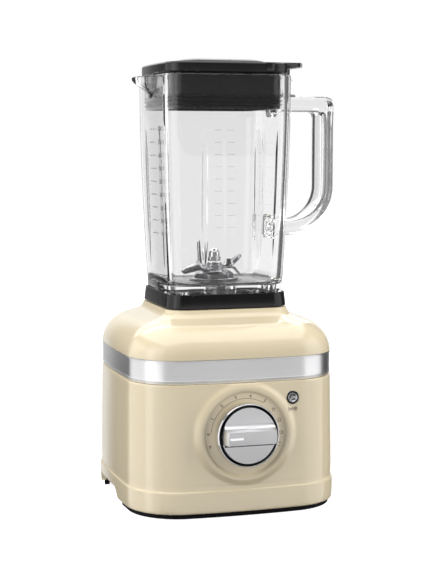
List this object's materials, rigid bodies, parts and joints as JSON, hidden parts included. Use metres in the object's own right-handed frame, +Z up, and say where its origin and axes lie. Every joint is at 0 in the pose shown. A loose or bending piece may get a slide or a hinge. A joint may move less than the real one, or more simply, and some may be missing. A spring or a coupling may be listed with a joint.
{
  "type": "countertop blender",
  "caption": "Countertop blender: square thick glass jar with a handle and black lid, on a cream painted metal base with a brushed band, a bright speed dial and a start button.",
  "frame": {"origin": "middle of the base's footprint, at the height of the bench, under the motor and blade axis", "axes": "+Z up along the motor and blade axis, -Y is the front with the dial, +X is the side with the jar's handle"},
  "size_m": [0.2288, 0.236, 0.4323],
  "materials": {
    "body_paint": "high gloss cream enamel",
    "band_metal": "brushed along its length, with bright edges",
    "black_rubber": "matt",
    "black_plastic": "satin moulded",
    "grey_plastic": "moulded",
    "screw_steel": "zinc plated",
    "motor_steel": "stacked laminations",
    "copper_wire": "enamelled winding wire",
    "cast_alloy": "as cast",
    "carbon": "pressed carbon, dull",
    "board_green": "circuit board",
    "lamp_lens": "clear moulded lens",
    "dial_chrome": "mirror polished",
    "dial_face": "brushed across",
    "jar_clear": "thick pressed glass, polished",
    "blade_steel": "ground and polished",
    "bearing_alloy": "machined",
    "bush_bronze": "sintered bronze",
    "seal_rubber": "matt",
    "lid_black": "satin with a soft sheen"
  },
  "bodies": {
    "base": {"lower_housing": "body_paint", "upper_housing": "body_paint", "trim_band": "band_metal", "jar_seat_pad": "black_rubber", "coupling_guard": "black_plastic", "bottom_plate": "black_plastic", "rubber_feet": "black_rubber", "bottom_screws": "screw_steel", "housing_screws": "screw_steel", "cord_gland": "black_rubber", "motor_stator": "motor_steel", "field_coils": "copper_wire", "motor_lower_bracket": "cast_alloy", "motor_upper_bracket": "cast_alloy", "motor_bolts": "screw_steel", "motor_mounts": "black_rubber", "stator_spacers": "screw_steel", "lower_bearing": "screw_steel", "upper_bearing": "screw_steel", "fan_shroud": "black_plastic", "brush_ring": "grey_plastic", "brush_holders": "grey_plastic", "carbon_brushes": "carbon", "brush_springs": "screw_steel", "rotary_encoder": "black_plastic", "control_board": "board_green", "board_standoffs": "grey_plastic", "heat_sink": "cast_alloy", "power_switch_chip": "black_plastic", "switch_board": "board_green", "start_switch": "black_plastic", "status_lamp": "lamp_lens", "button_bezel": "black_plastic"},
    "start_button": {"button_cap": "dial_chrome", "button_spring": "black_rubber"},
    "dial": {"knob_cup": "dial_chrome", "knob_face": "dial_face", "knob_shaft": "screw_steel"},
    "rotor": {"motor_shaft": "motor_steel", "rotor_core": "motor_steel", "rotor_windings": "copper_wire", "commutator": "copper_wire", "cooling_fan": "black_plastic", "drive_coupling": "black_rubber"},
    "jar": {"jar_glass": "jar_clear", "jar_collar": "black_plastic", "jar_gasket": "seal_rubber", "bearing_housing": "bearing_alloy", "blade_bushes": "bush_bronze", "shaft_seal": "seal_rubber", "retaining_nut": "black_plastic"},
    "blades": {"blade_shaft": "blade_steel", "lower_blade": "blade_steel", "upper_blade": "blade_steel", "blade_washer": "blade_steel", "acorn_nut": "blade_steel", "driven_coupling": "black_plastic"},
    "lid": {"lid_shell": "lid_black", "lid_seal": "seal_rubber"},
    "cap": {"lid_cap": "lid_black"}
  },
  "joints": [
    {"name": "dial_turn", "type": "hinge", "parent": "base", "child": "dial", "pos_m": [0, -0.11, 0.08], "axis": [0, -1, 0], "range_deg": [-197, 20]},
    {"name": "button_press", "type": "slide", "parent": "base", "child": "start_button", "axis": [0, 1, 0], "range_m": [0, 0.0015], "stiffness_N_per_m": 800, "deforming": ["button_spring"]},
    {"name": "motor_spin", "type": "hinge", "parent": "base", "child": "rotor", "pos_m": [0, 0, 0.1], "axis": [0, 0, 1], "continuous": true},
    {"name": "jar_lift", "type": "slide", "parent": "base", "child": "jar", "axis": [0, 0, 1], "range_m": [0, 0.08]},
    {"name": "blade_spin", "type": "hinge", "parent": "jar", "child": "blades", "pos_m": [0, 0, 0.22], "axis": [0, 0, 1], "continuous": true},
    {"name": "lid_lift", "type": "slide", "parent": "jar", "child": "lid", "axis": [0, 0, 1], "range_m": [0, 0.06]},
    {"name": "cap_lift", "type": "slide", "parent": "lid", "child": "cap", "axis": [0, 0, 1], "range_m": [0, 0.05]}
  ],
  "couplings": [
    {"joint": "blade_spin", "follows": "motor_spin", "ratio": 1}
  ]
}
